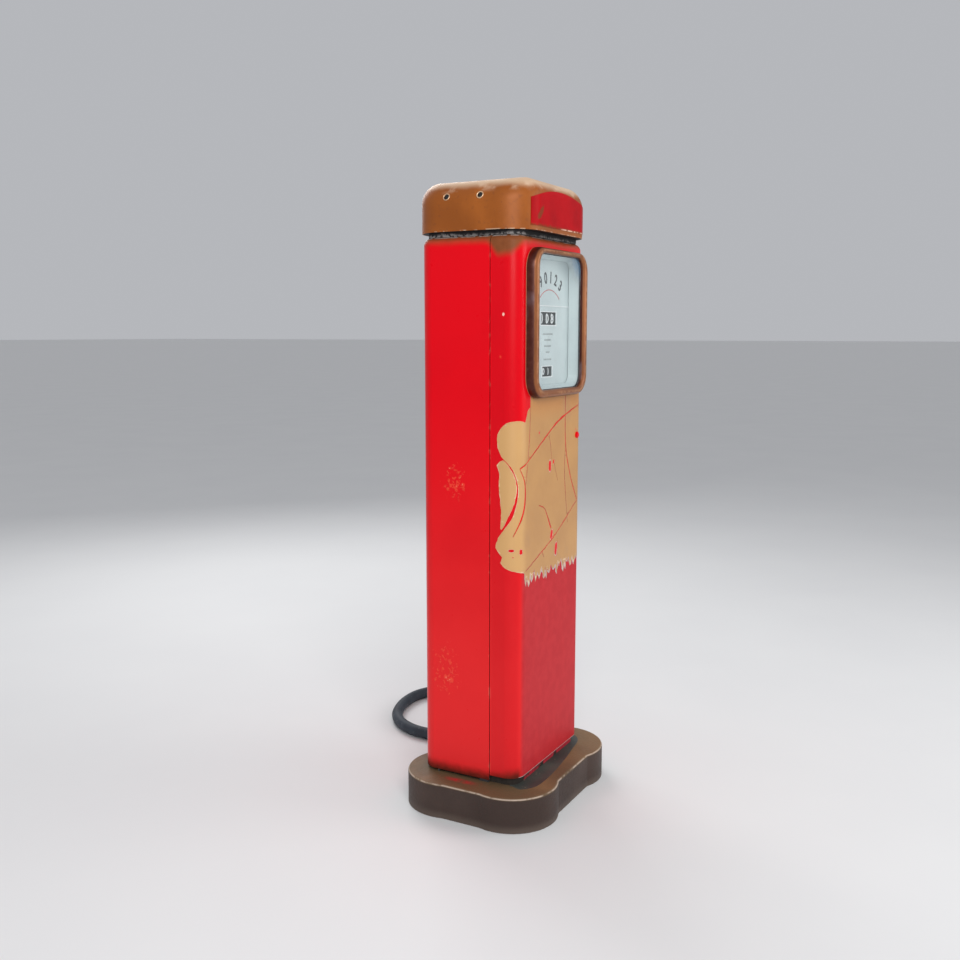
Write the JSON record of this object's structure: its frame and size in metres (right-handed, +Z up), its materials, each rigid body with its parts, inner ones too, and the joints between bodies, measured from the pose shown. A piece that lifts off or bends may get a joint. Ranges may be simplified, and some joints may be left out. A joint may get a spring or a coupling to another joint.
{
  "type": "gas pump",
  "caption": "Tall computing fuel pump: lobed cast base, red steel cabinet with hinged front cover, domed cap, glazed dial with number wheels, hose and nozzle.",
  "frame": {"origin": "middle of the base on the floor, on the underside of the anchor frame's cross bar", "axes": "+Z up, -Y the way the dial faces, +X to the right for someone reading the dial"},
  "size_m": [0.982, 0.9355, 1.871],
  "materials": {
    "red_paint": "gloss",
    "copper_paint": "satin",
    "cast_base": "matt",
    "black_paint": "matt",
    "frame_steel": "satin",
    "bright_steel": "satin",
    "white_enamel": "gloss",
    "wheel_black": "matt",
    "dial_glass": "clear",
    "rubber_black": "matt",
    "hose_rubber": "satin",
    "cast_aluminium": "satin",
    "brass_fitting": "satin",
    "machine_grey": "satin",
    "pump_iron": "matt",
    "lamp_white": "gloss",
    "lock_red": "gloss"
  },
  "bodies": {
    "pump": {"base_casting": "cast_base", "anchor_frame": "frame_steel", "plinth": "red_paint", "frame_posts": "frame_steel", "machine_shelf": "frame_steel", "meter_shelf": "frame_steel", "register_shelf": "frame_steel", "rear_shell": "red_paint", "neck_frame": "black_paint", "cap": "copper_paint", "cap_insert": "red_paint", "cap_screws": "bright_steel", "hinge_brackets": "bright_steel", "lock_keeper": "bright_steel", "dial_plate": "white_enamel", "register_frame": "bright_steel", "register_gearbox": "machine_grey", "dial_lamp": "lamp_white", "motor": "machine_grey", "drive_belt": "rubber_black", "pump_unit": "pump_iron", "strainer_plug": "brass_fitting", "air_separator": "machine_grey", "meter": "cast_aluminium", "suction_pipe": "frame_steel", "delivery_pipe": "frame_steel", "junction_box": "machine_grey", "conduits": "bright_steel", "switch_box": "frame_steel", "reset_bushing": "cast_aluminium", "outlet_elbow": "cast_aluminium", "outlet_ferrule": "brass_fitting", "hose": "hose_rubber", "nozzle_boot": "cast_aluminium", "nozzle_fork": "cast_aluminium"},
    "door": {"door_panel": "red_paint", "door_lugs": "bright_steel", "bezel": "copper_paint", "glass": "dial_glass", "glass_gasket": "rubber_black", "dial_surround": "white_enamel"},
    "cover_lock": {"cover_lock": "lock_red"},
    "sale_wheel_1": {"sale_wheel_1": "wheel_black"},
    "sale_wheel_2": {"sale_wheel_2": "wheel_black"},
    "sale_wheel_3": {"sale_wheel_3": "wheel_black"},
    "volume_wheel_1": {"volume_wheel_1": "wheel_black"},
    "volume_wheel_2": {"volume_wheel_2": "wheel_black"},
    "meter_shaft": {"meter_shaft": "bright_steel"},
    "motor_rotor": {"motor_pulley": "frame_steel"},
    "pump_rotor": {"pump_pulley": "frame_steel"},
    "switch_lever": {"switch_lever": "cast_aluminium"},
    "reset_knob": {"reset_knob": "wheel_black"},
    "nozzle": {"nozzle_body": "cast_aluminium", "nozzle_spout": "bright_steel", "nozzle_guard": "cast_aluminium", "nozzle_ferrule": "brass_fitting"},
    "nozzle_lever": {"nozzle_lever": "bright_steel"}
  },
  "joints": [
    {"name": "cover_swing", "type": "hinge", "parent": "pump", "child": "door", "pos_m": [-0.219, -0.0625, 0.9], "axis": [0, 0, 1], "range_deg": [-88, 0]},
    {"name": "lock_turn", "type": "hinge", "parent": "door", "child": "cover_lock", "pos_m": [0.172, -0.147, 1.117], "axis": [0, 1, 0], "range_deg": [0, 90]},
    {"name": "sale_wheel_1_spin", "type": "hinge", "parent": "pump", "child": "sale_wheel_1", "pos_m": [0.0345, -0.0675, 1.4745], "axis": [1, 0, 0], "continuous": true},
    {"name": "sale_wheel_2_spin", "type": "hinge", "parent": "pump", "child": "sale_wheel_2", "pos_m": [0, -0.0675, 1.4745], "axis": [1, 0, 0], "continuous": true},
    {"name": "sale_wheel_3_spin", "type": "hinge", "parent": "pump", "child": "sale_wheel_3", "pos_m": [-0.0345, -0.0675, 1.4745], "axis": [1, 0, 0], "continuous": true},
    {"name": "volume_wheel_1_spin", "type": "hinge", "parent": "pump", "child": "volume_wheel_1", "pos_m": [0.01, -0.0825, 1.3195], "axis": [1, 0, 0], "continuous": true},
    {"name": "volume_wheel_2_spin", "type": "hinge", "parent": "pump", "child": "volume_wheel_2", "pos_m": [-0.023, -0.0825, 1.3195], "axis": [1, 0, 0], "continuous": true},
    {"name": "meter_shaft_spin", "type": "hinge", "parent": "pump", "child": "meter_shaft", "pos_m": [0.03, 0.06, 1], "axis": [0, 0, 1], "continuous": true},
    {"name": "pump_pulley_spin", "type": "hinge", "parent": "pump", "child": "pump_rotor", "pos_m": [-0.085, -0.028, 0.25], "axis": [0, 1, 0], "continuous": true},
    {"name": "motor_pulley_spin", "type": "hinge", "parent": "pump", "child": "motor_rotor", "pos_m": [0.095, -0.028, 0.25], "axis": [0, 1, 0], "continuous": true},
    {"name": "switch_turn", "type": "hinge", "parent": "pump", "child": "switch_lever", "pos_m": [0.235, 0.0175, 1.262], "axis": [1, 0, 0], "range_deg": [0, 75]},
    {"name": "reset_turn", "type": "hinge", "parent": "pump", "child": "reset_knob", "pos_m": [0.25, 0, 1.4], "axis": [1, 0, 0], "continuous": true},
    {"name": "nozzle_lift_off", "type": "slide", "parent": "pump", "child": "nozzle", "axis": [1, 0, 0], "range_m": [0, 0.16]},
    {"name": "nozzle_squeeze", "type": "hinge", "parent": "nozzle", "child": "nozzle_lever", "pos_m": [0.286, 0.0175, 0.977], "axis": [0, 1, 0], "range_deg": [-8, 0], "stiffness_Nm_per_rad": 1.5, "springref_deg": 8.59}
  ],
  "couplings": [
    {"joint": "sale_wheel_1_spin", "follows": "meter_shaft_spin", "ratio": 1},
    {"joint": "sale_wheel_2_spin", "follows": "meter_shaft_spin", "ratio": 0.1},
    {"joint": "sale_wheel_3_spin", "follows": "meter_shaft_spin", "ratio": 0.01},
    {"joint": "volume_wheel_1_spin", "follows": "meter_shaft_spin", "ratio": 0.4},
    {"joint": "volume_wheel_2_spin", "follows": "meter_shaft_spin", "ratio": 0.04},
    {"joint": "motor_pulley_spin", "follows": "pump_pulley_spin", "ratio": 2.3438}
  ]
}
